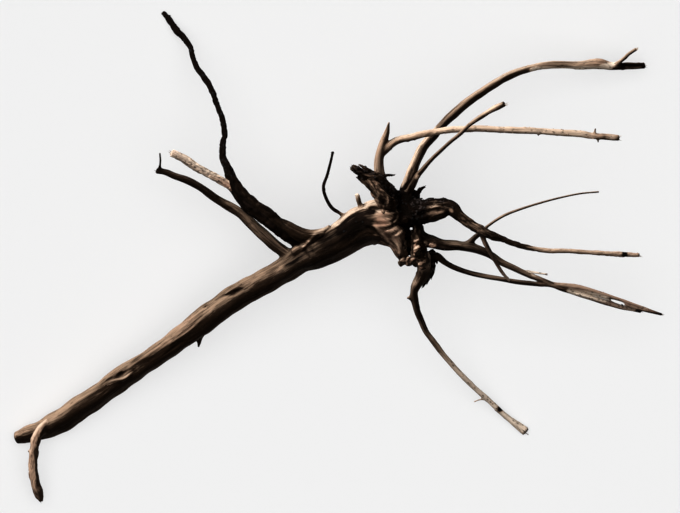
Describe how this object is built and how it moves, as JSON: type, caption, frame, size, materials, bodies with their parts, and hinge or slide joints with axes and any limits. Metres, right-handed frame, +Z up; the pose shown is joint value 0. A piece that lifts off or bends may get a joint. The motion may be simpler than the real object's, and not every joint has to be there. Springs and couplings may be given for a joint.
{
  "type": "piece of driftwood",
  "caption": "Weathered root-end driftwood lying on three low points: a tapering trunk with side branches, ending in a knotted crown from which long bare roots spread.",
  "frame": {"origin": "Under the middle of the outline seen from above, on the surface that the wood lies on.", "axes": "+X runs along the wood's longest side, from the trunk's lower end towards the root tips; +Y is the side that the long branch reaches to; +Z is up."},
  "size_m": [0.6497, 0.4933, 0.1389],
  "materials": {
    "weathered_wood": "dry, weathered and debarked driftwood: dark brown trunk and crown, paler tan root ends"
  },
  "bodies": {
    "root": {"driftwood": "weathered_wood"}
  },
  "joints": []
}
